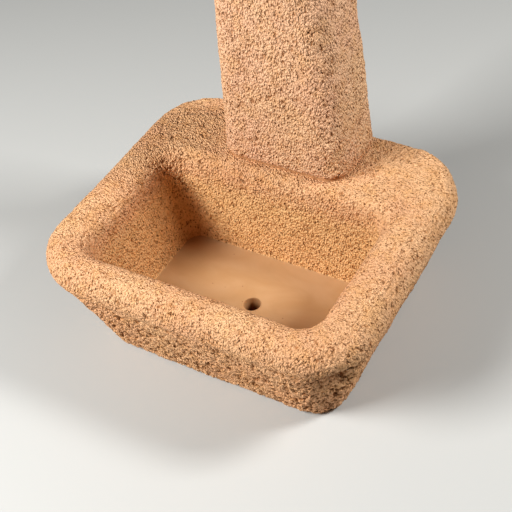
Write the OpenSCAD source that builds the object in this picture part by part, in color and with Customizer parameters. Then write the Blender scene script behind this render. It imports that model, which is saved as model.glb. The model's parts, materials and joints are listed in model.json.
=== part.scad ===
// Cast-stone drinking fountain. A deep stone bowl carries a tapering stone column on its rear
// shelf. A brass self-closing tap with a push button stands out of the column over the bowl,
// and a copper riser inside the column feeds it.
// Millimetres. +Z is up, +X is to the right and -Y is the front. The origin is on the ground,
// under the centre of the bowl's outline.

/* [Basin] */
// Outer width of the basin
basin_w = 596; // [520:2:720]
// Outer depth of the basin, front to back
basin_d = 500; // [460:2:620]
// Height of the rim above the ground
basin_h = 236; // [196:2:290]
// How far the base stands in from the rim at each side
base_inset_side = 70; // [30:2:100]
// How far the base stands in from the rim at the front
base_inset_front = 66; // [30:2:100]
// How far the base stands in at the back
base_inset_back = 12; // [6:1:30]
// How far the wall stands in just under the rim
lip_overhang = 14; // [8:1:24]
// Width of the rim at the sides
rim_side = 86; // [60:1:100]
// Width of the rim at the front
rim_front = 66; // [50:1:90]
// Height of the rim's rounding, from its widest level to its top
rim_round = 34; // [25:1:50]
// Radius of the basin's corners, seen from above
basin_corner = 105; // [70:1:125]
// Radius of the base's corners
base_corner = 55; // [30:1:80]
// Radius of the corners of the floor
floor_corner = 28; // [15:1:40]
// Thickness of the floor
floor_t = 40; // [30:1:60]
// Inward slope of the inner side walls, over their height
side_slope = 17; // [5:1:40]
// Inward slope of the inner front wall, over its height
front_slope = 30; // [5:1:40]
// Rounding of the shelf's front edge
shelf_roll = 20; // [10:1:30]
// Drain hole diameter
drain_d = 30; // [20:1:45]
// Distance of the drain hole in front of the basin's centre
drain_forward = 37; // [0:1:60]

/* [Column] */
// Width of the column at its foot
column_w = 236; // [200:2:280]
// Depth of the column at its foot
column_d = 140; // [132:1:170]
// Height of the column above its mortar bed
column_h = 659; // [560:1:800]
// Inward lean of each side, per mm of height
side_taper = 0.065; // [0:0.005:0.08]
// Backward lean of the front, per mm of height
front_taper = 0.027; // [0:0.001:0.04]
// Radius of the column's front corners
column_corner = 36; // [20:1:45]
// Radius of the column's rear corners
column_rear_corner = 20; // [10:1:24]
// Height of the rounding at the column's top
crown_h = 52; // [30:1:70]
// Inset of the rounding at the column's top
crown_inset = 44; // [25:1:48]
// Rounding of the edge round the column's foot
foot_round = 6; // [2:1:10]
// Setback of the column from the basin's back
column_setback = 8; // [6:1:20]
// Thickness of the mortar bed
mortar_t = 5; // [3:1:10]
// Setback of the mortar bed inside the column's foot
mortar_setback = 2; // [1:0.5:5]

/* [Dowels] */
// Dowel diameter
dowel_d = 16; // [10:1:20]
// Depth of the dowels in the basin, and in the column
dowel_depth = 60; // [40:5:80]
// Distance between the two dowels
dowel_gap = 124; // [100:2:140]

/* [Water supply] */
// Outer diameter of the riser pipe
pipe_d = 15; // [12:1:18]
// Wall of the riser pipe
pipe_wall = 1; // [0.7:0.1:1.5]
// Diameter of the conduit through the stone
conduit_d = 36; // [34:1:44]
// Distance of the riser behind the mouth of the tap's elbow
elbow_arm = 26; // [24:1:30]
// Height of the supply inlet above the ground
inlet_z = 36; // [30:1:45]
// Length of the supply thread
inlet_thread_l = 16; // [12:1:20]

/* [Service hatch] */
// Height of the hatch's centre above the tap's axis
hatch_above_tap = -5; // [-10:1:5]
// Width of the hatch opening
hatch_w = 84; // [76:2:90]
// Height of the hatch opening
hatch_h = 120; // [110:2:130]
// Width of the border that the cover rests on at each side
hatch_border_side = 18; // [14:1:20]
// Height of the border above and below the opening
hatch_border_end = 25; // [22:1:30]
// Thickness of the cover
cover_t = 2; // [1.5:0.5:3]
// Thickness of the cover's gasket
cover_gasket_t = 1.5; // [1:0.5:3]
// Diameter of the cover screws
cover_screw_d = 5; // [4:1:6]
// Length of the cover's screw anchors
anchor_l = 16; // [12:1:24]

/* [Tap] */
// Distance of the tap's axis below the column's top
tap_drop = 220; // [190:5:280]
// Distance from the column's face to the axis of the valve
tap_reach = 45; // [40:1:55]
// Diameter of the valve barrel
barrel_d = 36; // [34:1:40]
// Diameter of the spout
spout_d = 20; // [18:1:22]
// Radius of the spout's bend
spout_bend = 28; // [22:1:36]
// Straight length of the spout before its bend
spout_straight = 19; // [12:1:30]
// Straight drop of the spout after its bend
spout_drop = 14; // [14:1:24]
// Diameter of the wall flange
flange_d = 54; // [48:1:60]
// Thickness of the wall flange at its centre
flange_t = 6; // [5:0.5:8]
// Thickness of the flange's gasket
flange_gasket_t = 1.5; // [1:0.5:3]
// Depth of the flat seat cut into the column for the flange
spot_depth = 2.3; // [1.5:0.1:4]
// Thickness of the stone that the tap is clamped to
clamp_wall = 34; // [28:1:38]
// Travel of the push button
button_travel = 6; // [4:0.5:6]
// Diameter of the push button
button_d = 23; // [20:1:24]
// Diameter of the valve stem
stem_d = 6; // [5:0.5:7]
// Wire diameter of the return spring
wire_d = 1.6; // [1:0.1:2]
// Number of turns of the return spring
spring_turns = 5; // [3:1:6]

/* [Clearances] */
// Radial clearance of sliding parts
slide_gap = 0.05; // [0.02:0.01:0.1]
// Radial clearance of threads and fitted parts that stay put
thread_gap = 0.1; // [0.05:0.05:0.15]
// Radial clearance of the dowels in their holes
dowel_gap_r = 0.3; // [0.2:0.1:0.6]
// Clearance round the hatch cover
cover_gap = 1; // [0.5:0.5:2]

/* [Hidden] */
$fn = 64;
eps = 0.01;
cut = 1;           // how far a cut runs past the face it opens
arc_steps = 8;     // facets in a quarter turn of a lofted corner
roll_steps = 6;    // rings in a quarter turn of a lofted edge

// --- basin ---
back_y = basin_d / 2;
rim_z = basin_h - rim_round;
column_back_y = back_y - column_setback;
column_front_y = column_back_y - column_d;
shelf_edge_y = column_front_y - mortar_setback;
shelf_inset = back_y - shelf_edge_y;
rim_flat = 3;                       // half of the flat along the top of the rim
wall_slope_back = 2;
base_chamfer = 8;

// --- column ---
foot_z = basin_h + mortar_t;
top_z = foot_z + column_h;
function side_x(z) = column_w / 2 - side_taper * (z - foot_z);
function front_y(z) = column_front_y + front_taper * (z - foot_z);
dowel_y = (column_front_y + column_back_y) / 2;
tap_z = top_z - tap_drop;

// --- hatch ---
hatch_z = tap_z + hatch_above_tap;
rebate_w = hatch_w + 2 * hatch_border_side;
rebate_h = hatch_h + 2 * hatch_border_end;
rebate_y = column_back_y - cover_t - cover_gasket_t;
cover_r = 8;
screw_margin = 10;
screw_x = rebate_w / 2 - screw_margin;
screw_dz = rebate_h / 2 - screw_margin;
screw_head_d = 2 * cover_screw_d - 1;
screw_head_t = 2.5;
screw_l = anchor_l - 2;
anchor_d = cover_screw_d + 4;

// --- tap, along its tail (Y) ---
thread_d = 20.955;     // outer diameter of a half-inch pipe thread
tap_af = 30;           // width across the flats of the tap's hexagons
seat_y = front_y(tap_z) + spot_depth;
recess_front_y = seat_y + clamp_wall;
barrel_y = seat_y - tap_reach;
shoulder_y = seat_y - flange_gasket_t - flange_t;
collar_t = 10;
tail_hole_d = 24;
washer_t = 2;
backnut_t = 8;
backnut_back_y = recess_front_y + washer_t + backnut_t;
tail_grip = 12;
elbow_mouth_y = backnut_back_y + 1;
tail_end_y = elbow_mouth_y + tail_grip;
pipe_y = elbow_mouth_y + elbow_arm;
inlet_bore_d = 13;

// --- tap, up its barrel (Z), measured from the tail's axis ---
lower_chamber = [-16, 8];
web_top = 12;
upper_chamber_top = 26;
barrel_top = 36;
barrel_bottom = -26;
chamber_d = 24;
cap_thread_d = 26;
orifice_d = 10;
spout_z = tap_z + 20;
spout_bore_d = 11;
bend_y = barrel_y - barrel_d / 2 - spout_straight;
mouth_y = bend_y - spout_bend;
mouth_z = spout_z - spout_bend - spout_drop;
nozzle_thread_d = 17;
nozzle_grip = 9;
seal_t = 1.5;
hex_t = 10;
cup_floor_z = tap_z + barrel_top + seal_t + hex_t;
cup_d = button_d + 8;
cup_h = 17.5;
spring_pressed_l = 12;
button_under_z = cup_floor_z + spring_pressed_l + button_travel;
button_cap_t = 11.5;
button_top_z = button_under_z + button_cap_t;
skirt_l = 10;
skirt_wall = 1.7;
stem_into_button = 7.5;
stem_top_z = button_under_z + stem_into_button;
washer_top_z = tap_z + lower_chamber[1];
valve_washer_t = 3;
valve_washer_d = 17;
holder_t = 4;
stem_nut_t = 4;
stem_bottom_z = washer_top_z - valve_washer_t - holder_t - stem_nut_t - 2;
seal_wire = 1.6;
groove_h = seal_wire + 0.1;
groove_zs = [tap_z + upper_chamber_top + 4, tap_z + upper_chamber_top + 12];
button_screw_d = 3.9;
button_screw_l = 12;
button_screw_head_r = 4;
button_screw_head_t = 2;
spring_r = 6.5;

// --- compression elbows ---
elbow_r = 14;
leg_l = 26;
leg_d = 22;
socket_stop = 14;      // distance of the pipe's end from the elbow's centre
olive_h = 5;
nut_grip = 8;
nut_web = 5;
nut_af = 27;
inlet_collar_t = 10;
inlet_collar_af = 24;
inlet_neck = 8;

// --- supply channel ---
channel_w = 64;
channel_h = inlet_z + leg_l + olive_h + nut_web + 10;

function hex_r(af) = af / 2 / cos(30);

// Outline of a rounded rectangle, anticlockwise from above: rf rounds its front corners and rb
// its rear ones
function corner(cx, cy, r, a0) = [
    for (i = [0:arc_steps]) let (a = a0 + 90 * i / arc_steps) [cx + r * cos(a), cy + r * sin(a)]
];
function outline(x, y0, y1, rf, rb) = concat(
    corner(x - rb, y1 - rb, rb, 0),
    corner(-x + rb, y1 - rb, rb, 90),
    corner(-x + rf, y0 + rf, rf, 180),
    corner(x - rf, y0 + rf, rf, 270)
);
function ring(x, y0, y1, rf, rb, z) = [for (p = outline(x, y0, y1, rf, rb)) [p[0], p[1], z]];

// Closed solid through a list of rings with the same number of points
module loft(rings) {
    n = len(rings[0]);
    last = (len(rings) - 1) * n;
    points = [for (r = rings) each r];
    sides = [
        for (k = [0:len(rings) - 2], i = [0:n - 1])
            let (j = (i + 1) % n, a = k * n, b = a + n)
            each [[a + i, b + i, b + j], [a + i, b + j, a + j]]
    ];
    caps = [[for (i = [0:n - 1]) i], [for (i = [n - 1:-1:0]) last + i]];
    polyhedron(points, concat(caps, sides), convexity = 6);
}

// One ring of the basin, given by its inset from the outline at the sides, front and back
function basin_ring(side, front, back, r, z) =
    ring(basin_w / 2 - side, -back_y + front, back_y - back, r, r, z);

function outer_rings() = [
    basin_ring(base_inset_side + base_chamfer, base_inset_front + base_chamfer,
        base_inset_back + base_chamfer, base_corner, 0),
    basin_ring(base_inset_side, base_inset_front, base_inset_back, base_corner, base_chamfer),
    basin_ring(lip_overhang, lip_overhang, column_setback / 2, basin_corner - lip_overhang / 2,
        basin_h - 2 * rim_round + 4)
];
function over_rim_rings() = [
    for (a = [-45:90 / roll_steps:90])
        let (k = 1 - cos(a))
        basin_ring(k * (rim_side / 2 - rim_flat), k * (rim_front / 2 - rim_flat),
            k * column_setback, basin_corner * (1 - 0.35 * k), rim_z + rim_round * sin(a))
];
function into_bowl_rings() = [
    for (i = [0:roll_steps])
        let (a = 90 * i / roll_steps, k = sin(a))
        basin_ring(rim_side / 2 + rim_flat + k * (rim_side / 2 - rim_flat),
            rim_front / 2 + rim_flat + k * (rim_front / 2 - rim_flat),
            shelf_inset + k * shelf_roll,
            basin_corner * 0.55 - k * (basin_corner * 0.55 - floor_corner - 10),
            rim_z + rim_round * cos(a))
];
function bowl_rings() = [
    basin_ring(rim_side + side_slope, rim_front + front_slope,
        shelf_inset + shelf_roll + wall_slope_back, floor_corner, floor_t)
];

module drain_cut() {
    translate([0, -drain_forward, -cut]) cylinder(d = drain_d, h = floor_t + 2 * cut);
}

module dowel_places() {
    for (x = [-dowel_gap / 2, dowel_gap / 2]) translate([x, dowel_y, 0]) children();
}

// Passage for the pipe: a conduit, and a channel open to the back and to the ground
module supply_channel() {
    translate([-channel_w / 2, pipe_y - channel_w / 2, -cut])
        cube([channel_w, basin_d, channel_h + cut]);
    translate([0, pipe_y, channel_h - cut]) cylinder(d = conduit_d, h = basin_h - channel_h + 2 * cut);
}

module basin() {
    color([0.84, 0.62, 0.45]) difference() {
        loft(concat(outer_rings(), over_rim_rings(), into_bowl_rings(), bowl_rings()));
        drain_cut();
        supply_channel();
        dowel_places() translate([0, 0, basin_h - dowel_depth])
            cylinder(d = dowel_d + 2 * dowel_gap_r, h = dowel_depth + cut);
    }
}

module mortar_joint() {
    m = mortar_setback;
    color([0.66, 0.47, 0.33]) difference() {
        translate([0, 0, basin_h]) linear_extrude(mortar_t)
            polygon(outline(column_w / 2 - foot_round, column_front_y + m + foot_round / 2,
                column_back_y - m - foot_round / 2, column_corner - foot_round,
                column_rear_corner - foot_round));
        translate([0, pipe_y, basin_h - cut]) cylinder(d = conduit_d, h = mortar_t + 2 * cut);
        dowel_places() translate([0, 0, basin_h - cut])
            cylinder(d = dowel_d + 2 * dowel_gap_r, h = mortar_t + 2 * cut);
    }
}

// One ring of the column at height z, drawn in by an inset
function column_ring(z, inset) = ring(side_x(z) - inset, front_y(z) + inset,
    column_back_y - inset, max(column_corner - inset * 0.6, 5), max(column_rear_corner - inset * 0.4, 5), z);
function crown_rings() = [
    for (i = [0:roll_steps])
        let (a = 90 * i / roll_steps)
        column_ring(top_z - crown_h * (1 - sin(a)), crown_inset * (1 - cos(a)))
];
function column_rings() = concat([
    column_ring(foot_z, foot_round),
    column_ring(foot_z + foot_round * 0.4, foot_round * 0.3),
    column_ring(foot_z + foot_round * 1.5, 0)
], crown_rings());

module along_y(y0, y1, d, z = tap_z) {
    translate([0, y0, z]) rotate([-90, 0, 0]) cylinder(d = d, h = y1 - y0);
}

module hatch_places(y) {
    for (x = [-screw_x, screw_x], dz = [-screw_dz, screw_dz])
        translate([x, y, hatch_z + dz]) rotate([-90, 0, 0]) children();
}

module hatch_block(w, h, y0, y1) {
    translate([-w / 2, y0, hatch_z - h / 2]) cube([w, y1 - y0, h]);
}

module column() {
    color([0.85, 0.64, 0.48]) difference() {
        loft(column_rings());
        translate([0, pipe_y, foot_z - cut]) cylinder(d = conduit_d, h = hatch_z - foot_z);
        dowel_places() translate([0, 0, foot_z - cut])
            cylinder(d = dowel_d + 2 * dowel_gap_r, h = dowel_depth + 2 * cut);
        hatch_block(hatch_w, hatch_h, recess_front_y, column_back_y + cut);
        hatch_block(rebate_w, rebate_h, rebate_y, column_back_y + cut);
        along_y(seat_y - tap_reach, seat_y, flange_d + 2);
        along_y(seat_y - cut, recess_front_y + cut, tail_hole_d);
        hatch_places(rebate_y - anchor_l) cylinder(d = anchor_d + 2 * thread_gap, h = anchor_l + cut);
    }
}

module dowel_pins() {
    color("silver") dowel_places() translate([0, 0, basin_h - dowel_depth])
        cylinder(d = dowel_d, h = 2 * dowel_depth + mortar_t);
}

module cover_blank(y0, y1) {
    w = rebate_w - 2 * cover_gap;
    h = rebate_h - 2 * cover_gap;
    translate([0, y0, hatch_z]) rotate([-90, 0, 0]) linear_extrude(y1 - y0) union() {
        square([w, h - 2 * cover_r], center = true);
        square([w - 2 * cover_r, h], center = true);
        for (x = [-1, 1], y = [-1, 1])
            translate([x * (w / 2 - cover_r), y * (h / 2 - cover_r)]) circle(r = cover_r);
    }
}

module service_cover() {
    color("silver") difference() {
        cover_blank(rebate_y + cover_gasket_t, column_back_y);
        hatch_places(rebate_y) cylinder(d = cover_screw_d + 1, h = cover_t + cover_gasket_t + cut);
    }
}

module cover_gasket() {
    color("dimgray") difference() {
        cover_blank(rebate_y, rebate_y + cover_gasket_t);
        hatch_block(hatch_w, hatch_h, rebate_y - cut, rebate_y + cover_gasket_t + cut);
        hatch_places(rebate_y - cut) cylinder(d = cover_screw_d + 1, h = cover_gasket_t + 2 * cut);
    }
}

module cover_screws() {
    socket_af = 3;
    color("silver") hatch_places(column_back_y) difference() {
        union() {
            cylinder(d = screw_head_d, h = screw_head_t);
            translate([0, 0, -screw_l]) cylinder(d = cover_screw_d, h = screw_l + eps);
        }
        translate([0, 0, screw_head_t - 1.5]) cylinder(r = hex_r(socket_af), h = 2, $fn = 6);
    }
}

module cover_anchors() {
    color("goldenrod") hatch_places(rebate_y - anchor_l) difference() {
        cylinder(d = anchor_d, h = anchor_l);
        translate([0, 0, 2]) cylinder(d = cover_screw_d + 2 * thread_gap, h = anchor_l);
    }
}

module riser_pipe() {
    color("peru") translate([0, pipe_y, inlet_z + socket_stop]) difference() {
        l = tap_z - inlet_z - 2 * socket_stop;
        cylinder(d = pipe_d, h = l);
        translate([0, 0, -cut]) cylinder(d = pipe_d - 2 * pipe_wall, h = l + 2 * cut);
    }
}

// Compression leg that points down from the elbow's centre, and its bores
module leg() {
    translate([0, 0, -leg_l]) cylinder(d = leg_d, h = leg_l);
}
module leg_bores() {
    translate([0, 0, -leg_l - cut])
        cylinder(d = pipe_d + 2 * slide_gap, h = leg_l - socket_stop + cut);
    translate([0, 0, -leg_l]) cylinder(d = pipe_d - 2 * pipe_wall, h = leg_l);
}
module compression_nut() {
    difference() {
        translate([0, 0, -leg_l - olive_h - nut_web])
            cylinder(r = hex_r(nut_af), h = nut_web + olive_h + nut_grip, $fn = 6);
        translate([0, 0, -leg_l - olive_h]) cylinder(d = leg_d + 2 * thread_gap, h = leg_l);
        translate([0, 0, -leg_l - olive_h - nut_web - cut])
            cylinder(d = pipe_d + 2 * thread_gap, h = leg_l);
    }
}
module olive() {
    wall = 1.6;
    translate([0, 0, -leg_l - olive_h]) difference() {
        cylinder(d = pipe_d + 2 * wall, h = olive_h);
        translate([0, 0, -cut]) cylinder(d = pipe_d + 2 * slide_gap, h = olive_h + 2 * cut);
    }
}

module at_tap_elbow() translate([0, pipe_y, tap_z]) children();
module at_inlet_elbow() translate([0, pipe_y, inlet_z]) rotate([180, 0, 0]) children();

module tap_elbow() {
    arm = pipe_y - elbow_mouth_y;
    color("goldenrod") at_tap_elbow() difference() {
        union() {
            sphere(r = elbow_r);
            leg();
            rotate([90, 0, 0]) cylinder(r = elbow_r, h = arm);
        }
        leg_bores();
        rotate([90, 0, 0]) cylinder(d = pipe_d - 2 * pipe_wall, h = arm + cut);
        translate([0, -arm + tail_grip + 0.5, 0]) rotate([90, 0, 0])
            cylinder(d = thread_d + 2 * thread_gap, h = arm);
    }
}
module tap_elbow_nut() color("goldenrod") at_tap_elbow() compression_nut();
module tap_elbow_olive() color("goldenrod") at_tap_elbow() olive();

module inlet_elbow() {
    reach = elbow_r + inlet_neck + inlet_thread_l;
    color("goldenrod") at_inlet_elbow() difference() {
        union() {
            sphere(r = elbow_r);
            leg();
            rotate([90, 0, 0]) cylinder(d = thread_d, h = reach);
            translate([0, -elbow_r + 2, 0]) rotate([90, 0, 0])
                cylinder(r = hex_r(inlet_collar_af), h = inlet_collar_t, $fn = 6);
        }
        leg_bores();
        rotate([90, 0, 0]) cylinder(d = pipe_d - 2 * pipe_wall, h = reach + cut);
    }
}
module inlet_elbow_nut() color("goldenrod") at_inlet_elbow() compression_nut();
module inlet_elbow_olive() color("goldenrod") at_inlet_elbow() olive();

// Quarter bend of the spout as a solid of diameter d
module bend(d) {
    translate([0, bend_y, spout_z - spout_bend]) rotate([90, 0, 90]) rotate([0, 0, 90])
        rotate_extrude(angle = 90) translate([spout_bend, 0]) circle(d = d);
}

module up_z(y, z0, z1, d) {
    translate([0, y, z0]) cylinder(d = d, h = z1 - z0);
}

module tap_body() {
    bead = 1.5;
    bead_h = 4;
    neck_d = 25;
    tip_d = spout_d + 3;
    tip_h = 12;
    color("goldenrod") difference() {
        union() {
            up_z(barrel_y, tap_z + barrel_bottom, tap_z + barrel_top, barrel_d);
            up_z(barrel_y, tap_z + barrel_bottom, tap_z + barrel_bottom + bead_h, barrel_d + 2 * bead);
            up_z(barrel_y, tap_z + barrel_top - bead_h, tap_z + barrel_top, barrel_d + 2 * bead);
            along_y(barrel_y, shoulder_y, neck_d);
            translate([0, shoulder_y - collar_t, tap_z]) rotate([-90, 0, 0])
                cylinder(r = hex_r(tap_af), h = collar_t, $fn = 6);
            along_y(shoulder_y - cut, tail_end_y, thread_d);
            along_y(bend_y, barrel_y, spout_d, spout_z);
            bend(spout_d);
            up_z(mouth_y, mouth_z, spout_z - spout_bend, spout_d);
            up_z(mouth_y, mouth_z, mouth_z + tip_h, tip_d);
        }
        along_y(barrel_y, tail_end_y + cut, inlet_bore_d);
        up_z(barrel_y, tap_z + barrel_bottom - cut, tap_z + lower_chamber[0], cap_thread_d);
        up_z(barrel_y, tap_z + lower_chamber[0] - eps, tap_z + lower_chamber[1], chamber_d);
        up_z(barrel_y, tap_z + lower_chamber[1] - cut, tap_z + web_top + cut, orifice_d);
        up_z(barrel_y, tap_z + web_top, tap_z + upper_chamber_top + eps, chamber_d);
        up_z(barrel_y, tap_z + upper_chamber_top, tap_z + barrel_top + cut, cap_thread_d);
        along_y(bend_y, barrel_y, spout_bore_d, spout_z);
        bend(spout_bore_d);
        up_z(mouth_y, mouth_z, spout_z - spout_bend, spout_bore_d);
        up_z(mouth_y, mouth_z - cut, mouth_z + nozzle_grip + 1, nozzle_thread_d);
    }
}

module wall_flange() {
    hole_r = thread_d / 2 + 3 * thread_gap;
    edge_t = 2;
    color("goldenrod") translate([0, seat_y - flange_gasket_t, tap_z]) rotate([90, 0, 0])
        rotate_extrude() polygon([[hole_r, 0], [flange_d / 2, 0], [flange_d / 2, edge_t],
            [flange_d * 0.36, flange_t * 0.75], [hex_r(tap_af) + 1, flange_t], [hole_r, flange_t]]);
}

module flange_gasket() {
    color("dimgray") difference() {
        along_y(seat_y - flange_gasket_t, seat_y, flange_d - 2);
        along_y(seat_y - flange_gasket_t - cut, seat_y + cut, thread_d + 6 * thread_gap);
    }
}

module back_washer() {
    color("silver") difference() {
        along_y(recess_front_y, recess_front_y + washer_t, tap_af + 8);
        along_y(recess_front_y - cut, recess_front_y + washer_t + cut, thread_d + 4 * thread_gap);
    }
}

module backnut() {
    color("goldenrod") difference() {
        translate([0, recess_front_y + washer_t, tap_z]) rotate([-90, 0, 0])
            cylinder(r = hex_r(tap_af), h = backnut_t, $fn = 6);
        along_y(recess_front_y, backnut_back_y + cut, thread_d + 2 * thread_gap);
    }
}

module seal_ring(z, outer_d) {
    color("dimgray") difference() {
        up_z(barrel_y, z, z + seal_t, outer_d);
        up_z(barrel_y, z - cut, z + seal_t + cut, cap_thread_d + thread_gap);
    }
}
module plug_seal() seal_ring(tap_z + barrel_bottom - seal_t, barrel_d - 2);
module bonnet_seal() seal_ring(tap_z + barrel_top, barrel_d - 2);

module bottom_plug() {
    head_t = 7;
    z0 = tap_z + barrel_bottom - seal_t;
    color("goldenrod") translate([0, barrel_y, 0]) union() {
        translate([0, 0, z0]) cylinder(d = cap_thread_d - 2 * thread_gap,
            h = tap_z + lower_chamber[0] - z0);
        translate([0, 0, z0 - head_t]) cylinder(r = hex_r(tap_af), h = head_t, $fn = 6);
    }
}

module bonnet() {
    bonnet_af = 33;
    z0 = tap_z + upper_chamber_top;
    hex_z = tap_z + barrel_top + seal_t;
    color("goldenrod") difference() {
        union() {
            up_z(barrel_y, z0, hex_z + eps, cap_thread_d - 2 * thread_gap);
            translate([0, barrel_y, hex_z]) cylinder(r = hex_r(bonnet_af), h = hex_t, $fn = 6);
            up_z(barrel_y, hex_z, cup_floor_z + cup_h, cup_d);
        }
        up_z(barrel_y, z0 - cut, cup_floor_z + cut, stem_d + 2 * slide_gap);
        for (z = groove_zs)
            up_z(barrel_y, z, z + groove_h, stem_d + 2 * (seal_wire + slide_gap) + 0.1);
        up_z(barrel_y, cup_floor_z, cup_floor_z + cup_h + cut, button_d + 2 * slide_gap);
    }
}

module stem_seals() {
    color("dimgray") for (z = groove_zs) translate([0, barrel_y, z + seal_wire / 2])
        rotate_extrude() translate([stem_d / 2 + slide_gap + seal_wire / 2, 0]) circle(d = seal_wire);
}

// Helical spring, a tube of round section swept up a helix
function spring_ring(i, n, l) =
    let (a = 360 * spring_turns * i / n, rise = l * i / n)
    [for (k = [0:7]) let (b = 360 * k / 8, r = spring_r + wire_d / 2 * cos(b))
        [r * cos(a), r * sin(a), rise + wire_d / 2 * sin(b)]];
module return_spring() {
    l = button_under_z - cup_floor_z - wire_d;
    n = spring_turns * 16;
    color("silver") translate([0, barrel_y, cup_floor_z + wire_d / 2]) mirror([0, 1, 0])
        loft([for (i = [0:n]) spring_ring(i, n, l)]);
}

module push_button() {
    edge = 3;
    r = button_d / 2;
    screw_seat_z = button_cap_t - button_screw_head_t;
    color("goldenrod") translate([0, barrel_y, button_under_z]) difference() {
        rotate_extrude() polygon([[0, 0], [r - skirt_wall, 0], [r - skirt_wall, -skirt_l],
            [r, -skirt_l], [r, button_cap_t - edge], [r - edge * 0.3, button_cap_t - edge * 0.3],
            [r - edge, button_cap_t], [0, button_cap_t]]);
        translate([0, 0, -cut]) cylinder(d = stem_d + 2 * slide_gap, h = stem_into_button + cut);
        cylinder(r = button_screw_d / 2 + slide_gap, h = button_cap_t + cut);
        translate([0, 0, screw_seat_z]) cylinder(r = button_screw_head_r, h = button_screw_head_t + cut);
    }
}

module button_screw() {
    socket_af = 2.5;
    head_t = button_screw_head_t;
    color("silver") translate([0, barrel_y, button_top_z - head_t]) difference() {
        union() {
            cylinder(r = button_screw_head_r - slide_gap, h = head_t);
            translate([0, 0, head_t - button_screw_l]) cylinder(d = button_screw_d, h = button_screw_l);
        }
        translate([0, 0, head_t * 0.4]) cylinder(r = hex_r(socket_af), h = head_t, $fn = 6);
    }
}

module valve_stem() {
    color("silver") difference() {
        up_z(barrel_y, stem_bottom_z, stem_top_z, stem_d);
        up_z(barrel_y, button_top_z - button_screw_l - 1, stem_top_z + cut, button_screw_d + 2 * slide_gap);
    }
}

module on_stem(z0, z1, d) {
    difference() {
        up_z(barrel_y, z0, z1, d);
        up_z(barrel_y, z0 - cut, z1 + cut, stem_d + 2 * slide_gap);
    }
}
module valve_washer() {
    color("dimgray") on_stem(washer_top_z - valve_washer_t, washer_top_z, valve_washer_d);
}
module valve_holder() {
    z = washer_top_z - valve_washer_t;
    color("goldenrod") on_stem(z - holder_t, z, valve_washer_d + 1);
}
module stem_nut() {
    stem_nut_af = 10;
    z = washer_top_z - valve_washer_t - holder_t;
    color("silver") difference() {
        translate([0, barrel_y, z - stem_nut_t]) cylinder(r = hex_r(stem_nut_af), h = stem_nut_t, $fn = 6);
        up_z(barrel_y, z - stem_nut_t - cut, z + cut, stem_d + 2 * slide_gap);
    }
}

module spout_nozzle() {
    lip_t = 3;
    plate_t = 4;
    jet_d = 2.6;
    jet_r = 3.8;
    color("goldenrod") translate([0, mouth_y, mouth_z]) difference() {
        union() {
            cylinder(d = nozzle_thread_d - 2 * thread_gap, h = nozzle_grip);
            translate([0, 0, -lip_t]) cylinder(d = spout_d + 1, h = lip_t);
        }
        translate([0, 0, -lip_t - cut]) cylinder(d = spout_bore_d, h = lip_t + cut + nozzle_grip - plate_t);
        cylinder(d = jet_d, h = nozzle_grip + cut);
        for (a = [0:60:300])
            rotate([0, 0, a]) translate([jet_r, 0, 0]) cylinder(d = jet_d, h = nozzle_grip + cut);
    }
}

basin();
column();
mortar_joint();
dowel_pins();
service_cover();
cover_gasket();
cover_screws();
cover_anchors();
riser_pipe();
tap_elbow();
tap_elbow_nut();
tap_elbow_olive();
inlet_elbow();
inlet_elbow_nut();
inlet_elbow_olive();
tap_body();
wall_flange();
flange_gasket();
back_washer();
backnut();
bottom_plug();
plug_seal();
bonnet();
bonnet_seal();
stem_seals();
return_spring();
push_button();
button_screw();
valve_stem();
valve_holder();
valve_washer();
stem_nut();
spout_nozzle();
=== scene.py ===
import json
import math

import bmesh
import bpy
import numpy as np
from mathutils import Matrix, Vector

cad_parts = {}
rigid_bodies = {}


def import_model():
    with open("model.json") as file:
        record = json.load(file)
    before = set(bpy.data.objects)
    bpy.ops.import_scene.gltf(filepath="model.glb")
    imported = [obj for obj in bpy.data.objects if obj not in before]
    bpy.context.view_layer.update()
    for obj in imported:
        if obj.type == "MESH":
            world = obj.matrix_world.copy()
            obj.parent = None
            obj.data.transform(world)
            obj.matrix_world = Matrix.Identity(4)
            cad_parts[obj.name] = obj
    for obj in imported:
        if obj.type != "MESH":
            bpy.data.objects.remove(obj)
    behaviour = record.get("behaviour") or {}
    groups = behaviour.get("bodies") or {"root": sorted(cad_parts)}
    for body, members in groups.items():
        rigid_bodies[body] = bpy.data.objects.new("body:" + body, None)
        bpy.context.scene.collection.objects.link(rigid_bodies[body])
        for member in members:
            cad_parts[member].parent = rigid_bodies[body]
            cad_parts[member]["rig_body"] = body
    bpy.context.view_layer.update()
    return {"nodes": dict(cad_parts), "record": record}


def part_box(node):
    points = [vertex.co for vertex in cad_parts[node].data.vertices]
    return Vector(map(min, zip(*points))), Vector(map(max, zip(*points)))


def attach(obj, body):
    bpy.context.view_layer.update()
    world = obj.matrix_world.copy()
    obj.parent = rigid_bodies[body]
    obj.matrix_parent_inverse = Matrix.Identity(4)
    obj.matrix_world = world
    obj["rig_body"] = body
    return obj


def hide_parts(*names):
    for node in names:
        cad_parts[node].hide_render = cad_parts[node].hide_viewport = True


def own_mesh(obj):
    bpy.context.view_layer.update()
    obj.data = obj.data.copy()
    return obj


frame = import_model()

MM = 0.001
VOXEL = 1.35 * MM  # face size of the stones
SCENE = bpy.context.scene


# ---------------------------------------------------------------- noise, in numpy

LOW_32_BITS = 0xFFFFFFFF


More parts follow.
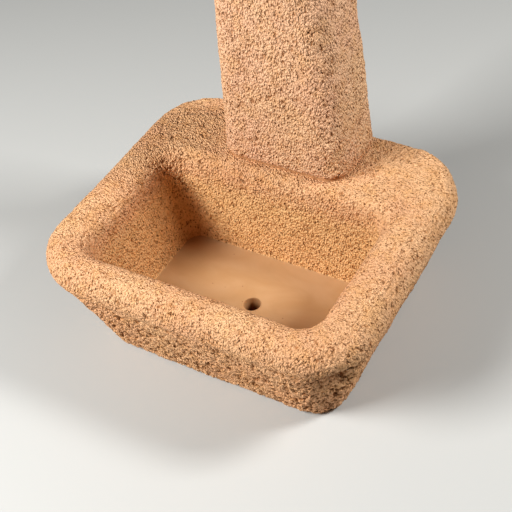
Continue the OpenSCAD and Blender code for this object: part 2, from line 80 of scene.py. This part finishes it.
def hash01(ix, iy, iz, seed):
    """One repeatable number from 0 to 1 for each lattice cell."""
    h = (ix.astype(np.int64) * 374761393 + iy.astype(np.int64) * 668265263
         + iz.astype(np.int64) * 2147483647 + seed * 1274126177)
    h = (h ^ (h >> 13)) & LOW_32_BITS
    h = (h * 1103515245 + 12345) & LOW_32_BITS
    h = (h ^ (h >> 16)) * 2246822519 & LOW_32_BITS
    h = (h ^ (h >> 13)) & LOW_32_BITS
    return h / LOW_32_BITS


def value_noise(p, size, seed):
    """Smooth noise from -1 to 1, with lumps of the given size in metres."""
    q = p / size
    cell = np.floor(q).astype(np.int64)
    f = q - cell
    f = f * f * f * (f * (f * 6 - 15) + 10)
    total = np.zeros(len(p))
    for dx in (0, 1):
        for dy in (0, 1):
            for dz in (0, 1):
                weight = ((f[:, 0] if dx else 1 - f[:, 0])
                          * (f[:, 1] if dy else 1 - f[:, 1])
                          * (f[:, 2] if dz else 1 - f[:, 2]))
                total += weight * hash01(cell[:, 0] + dx, cell[:, 1] + dy, cell[:, 2] + dz, seed)
    return total * 2 - 1


def layered_noise(p, size, seed, layers=3):
    """Several sizes of value_noise added together, from about -1 to 1."""
    total, share, weight = np.zeros(len(p)), 1.0, 0.0
    for k in range(layers):
        total += share * value_noise(p, size / 2 ** k, seed + k)
        weight += share
        share *= 0.5
    return total / weight


def cells(p, size, seed):
    """Distance to the nearest of the points scattered one to a cell, in cells."""
    q = p / size
    base = np.floor(q).astype(np.int64)
    near = np.full(len(p), np.inf)
    for dx in (-1, 0, 1):
        for dy in (-1, 0, 1):
            for dz in (-1, 0, 1):
                c = base + (dx, dy, dz)
                at = np.stack([c[:, k] + hash01(c[:, 0], c[:, 1], c[:, 2], seed + k) for k in range(3)], 1)
                near = np.minimum(near, ((q - at) ** 2).sum(1))
    return np.sqrt(near)


def ramp(x, low, high):
    """Smooth step from 0 at low to 1 at high."""
    t = np.clip((x - low) / (high - low), 0, 1)
    return t * t * (3 - 2 * t)


# ---------------------------------------------------------------- mesh helpers

def mesh_arrays(mesh):
    """The points of a mesh, and the two point numbers of each edge."""
    co = np.empty(len(mesh.vertices) * 3)
    mesh.vertices.foreach_get("co", co)
    edges = np.empty(len(mesh.edges) * 2, int)
    mesh.edges.foreach_get("vertices", edges)
    return co.reshape(-1, 3), edges.reshape(-1, 2)


def set_points(mesh, co):
    mesh.vertices.foreach_set("co", co.astype(np.float32).ravel())
    mesh.update()


def normals_of(mesh):
    n = np.empty(len(mesh.vertices) * 3)
    mesh.vertex_normals.foreach_get("vector", n)
    return n.reshape(-1, 3)


def relaxed(co, edges, rounds, share=0.5):
    """Each point moved part of the way to the mean of its neighbours, several times."""
    count = np.bincount(edges.ravel(), minlength=len(co))[:, None]
    for _ in range(rounds):
        total = np.stack([np.bincount(edges[:, 0], co[edges[:, 1], k], len(co))
                          + np.bincount(edges[:, 1], co[edges[:, 0], k], len(co)) for k in range(3)], 1)
        co = co + share * (total / np.maximum(count, 1) - co)
    return co


def baked(obj):
    """The object with its modifiers applied to its mesh."""
    depsgraph = bpy.context.evaluated_depsgraph_get()
    mesh = bpy.data.meshes.new_from_object(obj.evaluated_get(depsgraph))
    obj.modifiers.clear()
    obj.data = mesh
    return obj


def copy_of(node, name):
    """A new object with a copy of a CAD node's mesh, without its material."""
    mesh = frame["nodes"][node].data.copy()
    mesh.materials.clear()
    obj = bpy.data.objects.new(name, mesh)
    SCENE.collection.objects.link(obj)
    return obj


def smooth_shaded(obj, angle=None):
    """Shades an object smoothly, except across edges sharper than the angle, in degrees."""
    obj.data.polygons.foreach_set("use_smooth", [True] * len(obj.data.polygons))
    if angle is not None:
        obj.data.set_sharp_from_angle(angle=math.radians(angle))
    obj.data.update()


def remeshed(node, name, rounds):
    """A copy of a CAD node on an even grid of faces, its edges softened in so many rounds."""
    obj = copy_of(node, name)
    grid = obj.modifiers.new("grid", "REMESH")
    grid.mode = "VOXEL"
    grid.voxel_size = VOXEL
    baked(obj)
    co, edges = mesh_arrays(obj.data)
    set_points(obj.data, relaxed(co, edges, rounds))
    return obj


def store(mesh, name, values):
    """Keeps one number for each point of a mesh, for its material to read."""
    layer = mesh.attributes.new(name, "FLOAT", "POINT")
    layer.data.foreach_set("value", values.astype(np.float32))


# ---------------------------------------------------------------- node materials

class Nodes:
    """Short calls that add shader nodes to one new material."""

    def __init__(self, name):
        self.material = bpy.data.materials.new(name)
        self.material.use_nodes = True
        self.tree = self.material.node_tree
        self.tree.nodes.clear()
        out = self.tree.nodes.new("ShaderNodeOutputMaterial")
        self.shader = self.tree.nodes.new("ShaderNodeBsdfPrincipled")
        self.link(self.shader.outputs["BSDF"], out.inputs["Surface"])
        self.place = self.tree.nodes.new("ShaderNodeTexCoord").outputs["Object"]

    def link(self, a, b):
        self.tree.links.new(a, b)

    def put(self, value, socket):
        """Links an output, or sets a plain value."""
        if isinstance(value, bpy.types.NodeSocket):
            self.link(value, socket)
        else:
            socket.default_value = value

    def mapped(self, scale=(1, 1, 1), turn=(0, 0, 0)):
        n = self.tree.nodes.new("ShaderNodeMapping")
        self.link(self.place, n.inputs["Vector"])
        n.inputs["Scale"].default_value = scale
        n.inputs["Rotation"].default_value = [math.radians(a) for a in turn]
        return n.outputs["Vector"]

    def noise(self, scale, detail=3.0, rough=0.55, vector=None, distortion=0.0):
        n = self.tree.nodes.new("ShaderNodeTexNoise")
        self.link(vector or self.place, n.inputs["Vector"])
        n.inputs["Scale"].default_value = scale
        n.inputs["Detail"].default_value = detail
        n.inputs["Roughness"].default_value = rough
        n.inputs["Distortion"].default_value = distortion
        return n.outputs["Fac"]

    def cells(self, scale, vector=None):
        n = self.tree.nodes.new("ShaderNodeTexVoronoi")
        self.link(vector or self.place, n.inputs["Vector"])
        n.inputs["Scale"].default_value = scale
        return n.outputs["Distance"]

    def shifted(self, vector, amount, by):
        """A vector moved along one slanting line by amount times by."""
        n = self.tree.nodes.new("ShaderNodeVectorMath")
        n.operation = "MULTIPLY_ADD"
        self.link(amount, n.inputs[0])
        n.inputs[1].default_value = (by, -by, by)
        self.link(vector, n.inputs[2])
        return n.outputs["Vector"]

    def attribute(self, name):
        n = self.tree.nodes.new("ShaderNodeAttribute")
        n.attribute_name = name
        return n.outputs["Fac"]

    def math(self, kind, a, b):
        n = self.tree.nodes.new("ShaderNodeMath")
        n.operation = kind
        for value, socket in zip((a, b), n.inputs):
            self.put(value, socket)
        return n.outputs["Value"]

    def times(self, a, b):
        return self.math("MULTIPLY", a, b)

    def plus(self, a, b):
        return self.math("ADD", a, b)

    def most(self, a, b):
        return self.math("MAXIMUM", a, b)

    def between(self, value, low, high, to_low=0.0, to_high=1.0):
        """Smooth step from to_low, where value is low, to to_high, where it is high."""
        n = self.tree.nodes.new("ShaderNodeMapRange")
        n.interpolation_type = "SMOOTHSTEP"
        for v, key in zip((value, low, high, to_low, to_high),
                          ("Value", "From Min", "From Max", "To Min", "To Max")):
            self.put(v, n.inputs[key])
        return n.outputs["Result"]

    def mix(self, share, a, b):
        """Colour a where share is 0 and b where it is 1."""
        n = self.tree.nodes.new("ShaderNodeMix")
        n.data_type = "RGBA"
        self.put(share, n.inputs["Factor"])
        for value, socket in ((a, n.inputs[6]), (b, n.inputs[7])):
            self.put(value if isinstance(value, bpy.types.NodeSocket) else (*value, 1), socket)
        return n.outputs[2]

    def bump(self, height, distance, strength=1.0):
        n = self.tree.nodes.new("ShaderNodeBump")
        n.inputs["Distance"].default_value = distance
        n.inputs["Strength"].default_value = strength
        self.put(height, n.inputs["Height"])
        return n.outputs["Normal"]

    def set(self, **values):
        """Feeds the shader's sockets and returns the finished material."""
        names = {"color": "Base Color", "metal": "Metallic", "rough": "Roughness", "normal": "Normal",
                 "specular": "Specular IOR Level"}
        for key, value in values.items():
            if key == "color" and not isinstance(value, bpy.types.NodeSocket):
                value = (*value, 1)
            self.put(value, self.shader.inputs[names[key]])
        return self.material


# light, pink and warm tones of the grains of each cast piece
BASIN_TONES = (0.89, 0.535, 0.295), (0.86, 0.485, 0.27), (0.79, 0.41, 0.155)
COLUMN_TONES = (0.92, 0.585, 0.35), (0.90, 0.545, 0.345), (0.83, 0.47, 0.215)
# painted golden bounce shade on the inner walls, and painted shade at the rim and the bottom of a pit (its
# brown is also the floor's real dust)
PAINTED_BOUNCE_GOLD = (0.89, 0.57, 0.25)
PIT_SHADE_RIM = (0.66, 0.27, 0.06)
SHADE_AND_DUST_BROWN = (0.20, 0.055, 0.008)
# dark and light swirls of the trowelled floor
FLOOR_TAN = (0.52, 0.31, 0.15)
FLOOR_LIGHT = (0.585, 0.37, 0.205)


def grain_heights(m):
    """The shader's fine grain: distance from the middle of a grain, the pinholes, and how much painted shade
    a spot gets in its pits, pinholes and the gaps between grains.
    """
    grain = m.cells(330, m.shifted(m.mapped((1, 1, 0.7)), m.noise(260, 2), 3 * MM))
    dots = m.cells(215, m.shifted(m.mapped((1, 1, 0.6)), m.noise(400, 1), 2 * MM))
    pinholes = m.times(m.between(dots, 0.34, 0.18), m.between(m.noise(110, 2), 0.42, 0.56))
    gap_shade = m.times(m.between(grain, 0.50, 0.80), m.between(m.noise(140, 2), 0.34, 0.60))
    # painted shade: darkest deep in the pits and holes, then in the pinholes and the gaps between grains
    dark = m.most(m.attribute("pit"), m.times(pinholes, 0.9))
    return grain, pinholes, m.most(dark, m.times(gap_shade, 0.36))


def trowelled_tone(m, swirl):
    """The floor of the bowl: faint swirls, a little dust, and painted shade darkening down in the drain hole.
    """
    tone = m.mix(m.between(swirl, 0.25, 0.75), FLOOR_TAN, FLOOR_LIGHT)
    dust = m.between(m.cells(48), 0.075, 0.03)
    tone = m.mix(m.times(dust, 0.6), tone, SHADE_AND_DUST_BROWN)
    # painted shade inside the drain hole, in the same brown as the dust
    return m.mix(m.times(m.attribute("drain_shade"), 0.8), tone, SHADE_AND_DUST_BROWN)


def stone_material(name, tones):
    """Cast stone: peach grains a few millimetres across with painted shade in the pits between them, a
    painted golden bounce on the inner walls, and a trowelled finish where the trowelled attribute is 1."""
    m = Nodes(name)
    light, pink, warm = tones
    trowelled = m.attribute("trowelled")
    fine = m.noise(650, 3, 0.65)
    swirl = m.noise(9, 4, 0.55, m.mapped((1, 1.8, 1), (0, 0, 25)), 0.7)
    grain, pinholes, dark = grain_heights(m)
    tone = m.mix(m.between(m.noise(8, 3), 0.35, 0.65), light, pink)
    tone = m.mix(m.times(m.between(m.noise(38, 4, 0.6), 0.42, 0.72), 0.45), tone, warm)
    # painted golden bounce shade on the inner walls of the bowl
    tone = m.mix(m.times(m.attribute("painted_bounce"), 0.5), tone, PAINTED_BOUNCE_GOLD)
    # painted shade in the pits, pinholes and gaps between grains: a warm rim, then a dark brown
    tone = m.mix(m.times(dark, 0.55), tone, PIT_SHADE_RIM)
    tone = m.mix(m.times(dark, 0.82), tone, SHADE_AND_DUST_BROWN)
    tone = m.mix(trowelled, tone, trowelled_tone(m, swirl))
    height = m.math("SUBTRACT", m.times(m.times(grain, grain), -1.2), m.times(pinholes, 0.8))
    height = m.times(m.plus(height, m.times(fine, 0.5)), m.math("SUBTRACT", 1.0, trowelled))
    height = m.plus(height, m.times(swirl, 0.10))
    rough = m.between(fine, 0.3, 0.7, 0.84, 0.97)
    return m.set(color=tone, rough=rough, normal=m.bump(height, 3.2 * MM), specular=0.25)


def mortar_material():
    """Sandy joint mortar, browner than the stone."""
    m = Nodes("joint_mortar")
    sand = m.noise(900, 3, 0.7)
    patch = m.noise(60, 3)
    tone = m.mix(m.between(patch, 0.35, 0.65), (0.42, 0.215, 0.10), (0.55, 0.30, 0.15))
    tone = m.mix(m.between(sand, 0.55, 0.72, 0.0, 0.5), tone, (0.20, 0.09, 0.04))
    rough = m.between(sand, 0.3, 0.7, 0.85, 0.98)
    return m.set(color=tone, rough=rough, normal=m.bump(sand, 0.5 * MM), specular=0.2)


def metal_material(name, light, dark, tarnish, polish, brushed):
    """Cast or drawn metal: handled bright areas, duller patches, dark spots of tarnish and fine brush marks.
    polish is the roughness of the bright areas, and brushed squeezes the marks along each axis."""
    m = Nodes(name)
    patch = m.noise(55, 4, 0.6)
    spots = m.noise(260, 3, 0.7)
    marks = m.noise(700, 2, 0.5, m.mapped(brushed))
    tone = m.mix(m.between(patch, 0.38, 0.68), light, dark)
    tone = m.mix(m.between(spots, 0.58, 0.74, 0.0, 0.55), tone, tarnish)
    rough = m.between(patch, 0.35, 0.7, polish, polish + 0.14)
    rough = m.plus(rough, m.between(marks, 0.4, 0.65, 0.0, 0.08))
    height = m.plus(m.times(marks, 0.5), m.times(spots, 0.5))
    return m.set(color=tone, metal=1.0, rough=rough, normal=m.bump(height, 0.12 * MM, 0.5))


def rubber_material():
    """Black seal rubber with a grey bloom in patches."""
    m = Nodes("black_rubber")
    grain = m.noise(1500, 2, 0.6)
    bloom = m.noise(70, 3)
    tone = m.mix(m.between(bloom, 0.4, 0.7), (0.018, 0.018, 0.019), (0.045, 0.043, 0.041))
    rough = m.between(grain, 0.3, 0.7, 0.6, 0.82)
    return m.set(color=tone, rough=rough, normal=m.bump(grain, 0.15 * MM, 0.6), specular=0.4)


MATERIALS = {
    "mortar": mortar_material(),
    "brass": metal_material(
        "brass", (0.78, 0.58, 0.28), (0.58, 0.40, 0.17), (0.19, 0.12, 0.05), 0.20, (1, 1, 0.06)),
    "copper": metal_material(
        "copper", (0.80, 0.36, 0.21), (0.50, 0.20, 0.11), (0.12, 0.06, 0.04), 0.28, (1, 1, 0.05)),
    "stainless": metal_material(
        "stainless_steel", (0.66, 0.66, 0.64), (0.50, 0.50, 0.49), (0.30, 0.28, 0.26), 0.24, (0.05, 1, 1)),
    "black_rubber": rubber_material(),
}


# ---------------------------------------------------------------- stone pieces

# typical width of a grain, of a crumb of the broken finish and of one of its holes
GRAIN, CRUMB, HOLE = 4.4 * MM, 7.5 * MM, 8.5 * MM


def hammered(co, bent, seed):
    """The bush-hammered finish: its height at each point in millimetres, and how deep in a pit it lies."""
    lumps = 1.8 * layered_noise(co, 100 * MM, seed + 10, 2) + 0.9 * layered_noise(co, 30 * MM, seed + 20, 2)
    bumps = 0.8 * layered_noise(co, 11 * MM, seed + 25, 2)
    near = cells(bent, GRAIN, seed + 30)
    grains = 1.0 - 2.2 * near * near
    pits = ramp(near, 0.62, 0.82) * ramp(value_noise(co, 9 * MM, seed + 60), -0.3, 0.35)
    return lumps + 1.3 * bumps + 0.75 * grains - 1.1 * pits, pits


def broken(co, bent, seed):
    """The same for the broken finish, which has round holes and patches of cracks between crumbs."""
    crumbs = cells(bent + 0.3, CRUMB, seed + 40)
    patch = value_noise(co, 14 * MM, seed + 70)
    blown = 1 - ramp(cells(bent + 0.7, HOLE, seed + 45), 0.22, 0.46)
    cracks = ramp(crumbs, 0.58, 0.80) * ramp(patch, -0.1, 0.4)
    holes = np.maximum(blown * ramp(patch, -0.7, -0.1), cracks)
    rubble = 2.4 * layered_noise(co, 34 * MM, seed + 50, 4)
    return 1.7 * (1.0 - 2.0 * crumbs * crumbs) + rubble - 3.0 * holes, holes


def rough_surface(obj, fine, coarse, seed):
    """Moves the points of a stone along their normals into lumps, grains and pits, and stores how deep in a
    pit each point lies, where the material paints shade. fine and coarse are the shares of the bush-hammered
    and of the broken finish."""
    co, _ = mesh_arrays(obj.data)
    warp = np.stack([value_noise(co, 8 * MM, seed + k) for k in range(3)], 1)
    bent = (co + warp * 1.2 * MM) * (1, 1, 0.72)
    fine_height, pits = hammered(co, bent, seed)
    coarse_height, holes = broken(co, bent, seed)
    height = fine_height * fine + coarse_height * coarse
    push = normals_of(obj.data) * (height * MM)[:, None]
    push[:, 2] *= ramp(co[:, 2], 0.0, 8 * MM)  # the underside stays flat
    set_points(obj.data, co + push)
    # how deep in a pit or hole each point lies, which the material paints as shade
    store(obj.data, "pit", np.clip(pits * 0.6 * fine + holes * coarse, 0, 1))


def blob(co, at, size):
    """1 at one place, fading to 0 around it; place and size are in millimetres."""
    return np.exp(-(((co - np.array(at) * MM) / (np.array(size) * MM)) ** 2).sum(1))


def outside(co, low, high, fade):
    """0 inside a box, rising to 1 at a distance fade outside it."""
    gap = np.maximum(np.maximum(np.array(low) - co, co - np.array(high)), 0)
    return ramp(np.sqrt((gap ** 2).sum(1)), 0.0, fade)


def node_box(node, grow=0.0):
    """The low and the high corner of a CAD node's box, grown by so much on every side."""
    low, high = (np.array(c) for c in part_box(node))
    return low - grow, high + grow


# sheets 0-5 of a map hold the faces that look along -x +x -y +y -z +z, and 6-9 the inner walls
UNDERSIDE, INNER, HIDDEN = 4, 6, 12
SHEET_PLANES = ((1, 2), (0, 2), (0, 1))
SHEET_GAP = 6 * MM
LITTLE_SEEN = 0.35  # scale of the underside and of the hidden hollows on the map


def face_vectors(mesh, key):
    values = np.empty(len(mesh.polygons) * 3)
    mesh.polygons.foreach_get(key, values)
    return values.reshape(-1, 3)


def sheet_of_faces(mesh, hidden, inner):
    """The number of the map sheet that each face belongs to."""
    centre, facing = face_vectors(mesh, "center"), face_vectors(mesh, "normal")
    axis = np.abs(facing).argmax(1)
    way = axis * 2 + (facing[np.arange(len(axis)), axis] > 0)
    return np.where(hidden(centre, facing), HIDDEN, way + INNER * (inner(centre, facing) & (axis < 2)))


def lay_out_map(obj, hidden, inner):
    """Gives a stone a flat map for baking: one sheet for each way its faces look, with the inner walls and
    the hidden hollows on sheets of their own. Sheets go in rows on one square."""
    mesh = obj.data
    co, _ = mesh_arrays(mesh)
    corners = np.empty(len(mesh.polygons), int)
    mesh.polygons.foreach_get("loop_total", corners)
    point = np.empty(len(mesh.loops), int)
    mesh.loops.foreach_get("vertex_index", point)
    sheet = np.repeat(sheet_of_faces(mesh, hidden, inner), corners)
    place = co[point]
    sheets = {}
    for k in np.unique(sheet):
        used = sheet == k
        plane = SHEET_PLANES[1] if k == HIDDEN else SHEET_PLANES[k % INNER // 2]
        flat = place[used][:, plane]
        flat = flat - flat.min(0)
        sheets[k] = (used, flat * (LITTLE_SEEN if k in (UNDERSIDE, HIDDEN) else 1.0))
    widest, tallest = (max(flat.max(0)[k] for _, flat in sheets.values()) for k in (0, 1))
    width = 1.25 * widest + 0.5 * tallest
    uv = np.zeros((len(point), 2))
    x = y = row = 0.0
    for used, flat in sorted(sheets.values(), key=lambda entry: -entry[1].max(0)[1]):
        w, h = flat.max(0)
        if x + w > width:
            x, y, row = 0.0, y + row + SHEET_GAP, 0.0
        uv[used] = flat + (x, y)
        x, row = x + w + SHEET_GAP, max(row, h)
    uv = (uv + SHEET_GAP) / (uv.max() + 2 * SHEET_GAP)
    layer = mesh.uv_layers.new(name="OFBake")
    layer.uv.foreach_set("vector", uv.astype(np.float32).ravel())


# one hollow low on the basin's near right corner, and one corner with a stronger texture, in millimetres
NEAR_HOLLOW = {"at": (254, -192, 128), "size": (30, 30, 42)}
NEAR_HOLLOW_DEPTH = 14 * MM
ROUGH_CORNER = {"at": (-195, 145, 225), "size": 60}


def basin():
    """The basin's stone: bush-hammered, broken lower down outside, and trowelled on the floor of its bowl."""
    obj = remeshed("basin", "basin_stone", 3)
    co, _ = mesh_arrays(obj.data)
    normal = normals_of(obj.data)
    _, high = node_box("basin")
    openings = {o["name"]: o["box_m"] for o in frame["record"]["physics"]["openings"]}
    mouth = np.array(openings["bowl_mouth"])
    floor_z = openings["bowl"][0][2] - 1 * MM  # the opening starts this much above the bowl's floor
    mounts = {m["name"]: m["pos_m"] for m in frame["record"]["mounts"]}
    foot = node_box("mortar_joint", 1 * MM)
    pipe = node_box("riser_pipe")
    pins = node_box("dowel_pins", 2 * MM)

    def in_bowl(p, n):
        reach = mouth[1] + (40 * MM, 25 * MM, 0)
        box = (np.abs(p[:, 0]) < reach[0]) & (p[:, 1] < reach[1]) & (p[:, 2] > floor_z - 1 * MM)
        wall = ((mouth.mean(0) - p)[:, :2] * n[:, :2]).sum(1) > 0
        return box & (wall | ((n[:, 2] > 0.8) & (p[:, 2] < floor_z + 8 * MM)))

    def in_hollow(p, n):
        box = (np.abs(p[:, 0]) < pins[1][0]) & (p[:, 2] < high[2] - 2 * MM) & (p[:, 2] > 1 * MM)
        box = box & (p[:, 1] > pins[0][1] - 20 * MM) & (p[:, 1] < high[1] - 3 * MM)
        back_face = (n[:, 1] > 0.5) & (p[:, 1] > pipe[1][1])
        return box & ~back_face

    lay_out_map(obj, in_hollow, in_bowl)
    inner = in_bowl(co, normal).astype(float)
    rise = co[:, 2] - floor_z
    from_drain = np.hypot(co[:, 0], co[:, 1] - mounts["drain_hole"][1])
    drain = (from_drain < 25 * MM) & (rise < 5 * MM) & (normal[:, 2] > -0.5)
    floor = np.where(drain, 1.0, inner * (1 - ramp(rise, 1 * MM, 3 * MM)))
    drop = high[2] - co[:, 2]
    outer_low = (1 - inner) * ramp(drop, 45 * MM, 90 * MM)
    seat = (0, 0, 4 * MM)
    rough = outside(co, foot[0] - seat, foot[1] + seat, 9 * MM)
    rough = rough * (1 - in_hollow(co, normal)) * (1 - floor) * ramp(normal[:, 2], -0.85, -0.6)
    fine = rough * (1 - 0.15 * inner) * (1 - 0.3 * outer_low) * (1 + 0.6 * blob(co, **ROUGH_CORNER))
    rough_surface(obj, fine, rough * outer_low, 11)
    co, _ = mesh_arrays(obj.data)
    lost = blob(co, **NEAR_HOLLOW) * (1 - inner) * (1 + 0.5 * value_noise(co, 26 * MM, 5))
    set_points(obj.data, co - normal * (np.clip(lost, 0, 1.4) * NEAR_HOLLOW_DEPTH)[:, None])
    # painted golden bounce shade on the bowl's inner walls, stronger further below the rim
    store(obj.data, "painted_bounce", inner * ramp(drop, 25 * MM, 75 * MM))
    store(obj.data, "trowelled", np.where(drain, 1.0, floor * ramp(normal[:, 2], 0.8, 0.97)))
    # painted shade in the drain hole, darker further down
    store(obj.data, "drain_shade", drain * ramp(-rise, 8 * MM, 30 * MM))
    smooth_shaded(obj)
    obj.data.materials.append(stone_material("cast_stone_basin", BASIN_TONES))
    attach(obj, "fountain")
    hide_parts("basin")


def column():
    """The column's stone: bush-hammered, and smooth where the service cover and the wall flange lie on it."""
    obj = remeshed("column", "column_stone", 2)
    co, _ = mesh_arrays(obj.data)
    low, high = node_box("column")
    cover = node_box("service_cover", 1.5 * MM)
    flange = node_box("wall_flange", 1.5 * MM)
    pins = node_box("dowel_pins", 2 * MM)

    def in_hollow(p, n):
        box = (np.abs(p[:, 0]) < pins[1][0]) & (p[:, 2] > low[2] + 1 * MM) & (p[:, 2] < high[2] - 80 * MM)
        return box & (p[:, 1] > flange[1][1] + 2 * MM) & (p[:, 1] < cover[0][1] + 3 * MM)

    def nowhere(p, n):
        return np.zeros(len(p), bool)

    lay_out_map(obj, in_hollow, nowhere)
    rough = outside(co, cover[0], cover[1], 5 * MM)
    rough = rough * outside(co, flange[0], flange[1] + (0, 4 * MM, 0), 5 * MM)
    rough = rough * (1 - in_hollow(co, None)) * ramp(co[:, 2], low[2], low[2] + 6 * MM)
    rough_surface(obj, 0.95 * rough, 0.10 * rough, 71)
    for name in ("painted_bounce", "trowelled", "drain_shade"):
        store(obj.data, name, np.zeros(len(co)))
    smooth_shaded(obj)
    obj.data.materials.append(stone_material("cast_stone_column", COLUMN_TONES))
    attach(obj, "fountain")
    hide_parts("column")


# ---------------------------------------------------------------- metal pieces

SLOT_OF = {part["node"]: part["material_slot"] for part in frame["record"]["subparts"]}
# edge radius of each piece that is rounded off, in millimetres
ROUNDED = {
    "tap_body": 0.7, "wall_flange": 0.5, "bonnet": 0.6, "push_button": 0.5, "button_screw": 0.2,
    "bottom_plug": 0.7, "spout_nozzle": 0.35, "service_cover": 0.5, "cover_screws": 0.35,
    "inlet_elbow": 0.4, "inlet_elbow_nut": 0.6, "backnut": 0.6, "tap_elbow_nut": 0.6,
}


def rounded_copy(node, radius):
    """A copy of a CAD node with its flat faces joined up and its sharp edges rounded off."""
    obj = copy_of(node, node + "_finished")
    mesh = bmesh.new()
    mesh.from_mesh(obj.data)
    bmesh.ops.remove_doubles(mesh, verts=mesh.verts, dist=0.005 * MM)
    bmesh.ops.dissolve_limit(mesh, angle_limit=math.radians(1.0), verts=mesh.verts, edges=mesh.edges)
    mesh.to_mesh(obj.data)
    mesh.free()
    edge = obj.modifiers.new("rounded", "BEVEL")
    edge.width = radius * MM
    edge.segments = 3
    edge.limit_method = "ANGLE"
    edge.angle_limit = math.radians(32)
    edge.harden_normals = True
    baked(obj)
    smooth_shaded(obj, 40)
    obj.data.materials.append(MATERIALS[SLOT_OF[node]])
    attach(obj, frame["nodes"][node]["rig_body"])
    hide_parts(node)


def return_spring():
    """The coil between cup and button, in stainless steel."""
    obj = copy_of("return_spring", "return_spring_coil")
    smooth_shaded(obj, 60)
    obj.data.materials.append(MATERIALS["stainless"])
    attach(obj, "fountain")
    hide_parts("return_spring")
    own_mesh(obj)


def finish_frame_nodes():
    """Gives each CAD node that stays in sight its material."""
    for name, obj in frame["nodes"].items():
        if SLOT_OF[name] in MATERIALS and not obj.hide_render:
            for k in range(len(obj.material_slots)):
                obj.material_slots[k].material = MATERIALS[SLOT_OF[name]]


# ---------------------------------------------------------------- stage

def stage():
    """A grey studio floor and a very dim room around it."""
    bpy.ops.mesh.primitive_plane_add(size=14, location=(0, 0, 0))
    floor = bpy.context.object
    floor.name = "studio_floor"
    m = Nodes("studio_floor")
    m.set(color=(0.52, 0.52, 0.50), rough=0.85)
    floor.data.materials.append(m.material)
    world = bpy.data.worlds.new("studio")
    world.use_nodes = True
    background = world.node_tree.nodes["Background"]
    background.inputs["Color"].default_value = (1.0, 0.98, 0.95, 1)
    background.inputs["Strength"].default_value = 0.02
    SCENE.world = world


def studio_light(name, around, above, size, power, distance=2.8):
    """A square soft light aimed at the bowl, placed by its angles around and above it, in degrees."""
    aim = Vector((0, 0, 0.15))
    turn, lift = math.radians(around), math.radians(above)
    away = Vector((math.cos(lift) * math.cos(turn), math.cos(lift) * math.sin(turn), math.sin(lift)))
    data = bpy.data.lights.new(name, "AREA")
    data.size = size
    data.energy = power
    lamp = bpy.data.objects.new(name, data)
    SCENE.collection.objects.link(lamp)
    lamp.location = aim + distance * away
    lamp.rotation_euler = (-away).to_track_quat("-Z", "Y").to_euler()


def camera():
    """The photographer stands in front and to the right, looks down into the bowl and tilts the camera."""
    place = Vector((0.7544, -1.0249, 1.3696))
    swing, down, tilt = math.radians(36.42), math.radians(44.36), math.radians(-9.39)
    back = Vector((math.sin(swing) * math.cos(down), -math.cos(swing) * math.cos(down), math.sin(down)))
    right = Vector((math.cos(swing), math.sin(swing), 0))
    up = back.cross(right)
    right_t = math.cos(tilt) * right + math.sin(tilt) * up
    up_t = -math.sin(tilt) * right + math.cos(tilt) * up
    data = bpy.data.cameras.new("camera")
    data.lens = 72.85
    data.sensor_width = 36
    data.clip_start = 0.05
    cam = bpy.data.objects.new("camera", data)
    SCENE.collection.objects.link(cam)
    turn = Matrix((right_t, up_t, back)).transposed()
    cam.matrix_world = Matrix.Translation(place) @ turn.to_4x4()
    SCENE.camera = cam


camera()
stage()
studio_light("key", around=235, above=40, size=1.1, power=95)
studio_light("counter", around=22, above=45, size=0.6, power=54)
SCENE.view_settings.view_transform = "Standard"
SCENE.view_settings.look = "Medium High Contrast"
basin()
column()
for node, radius in ROUNDED.items():
    rounded_copy(node, radius)
return_spring()
finish_frame_nodes()
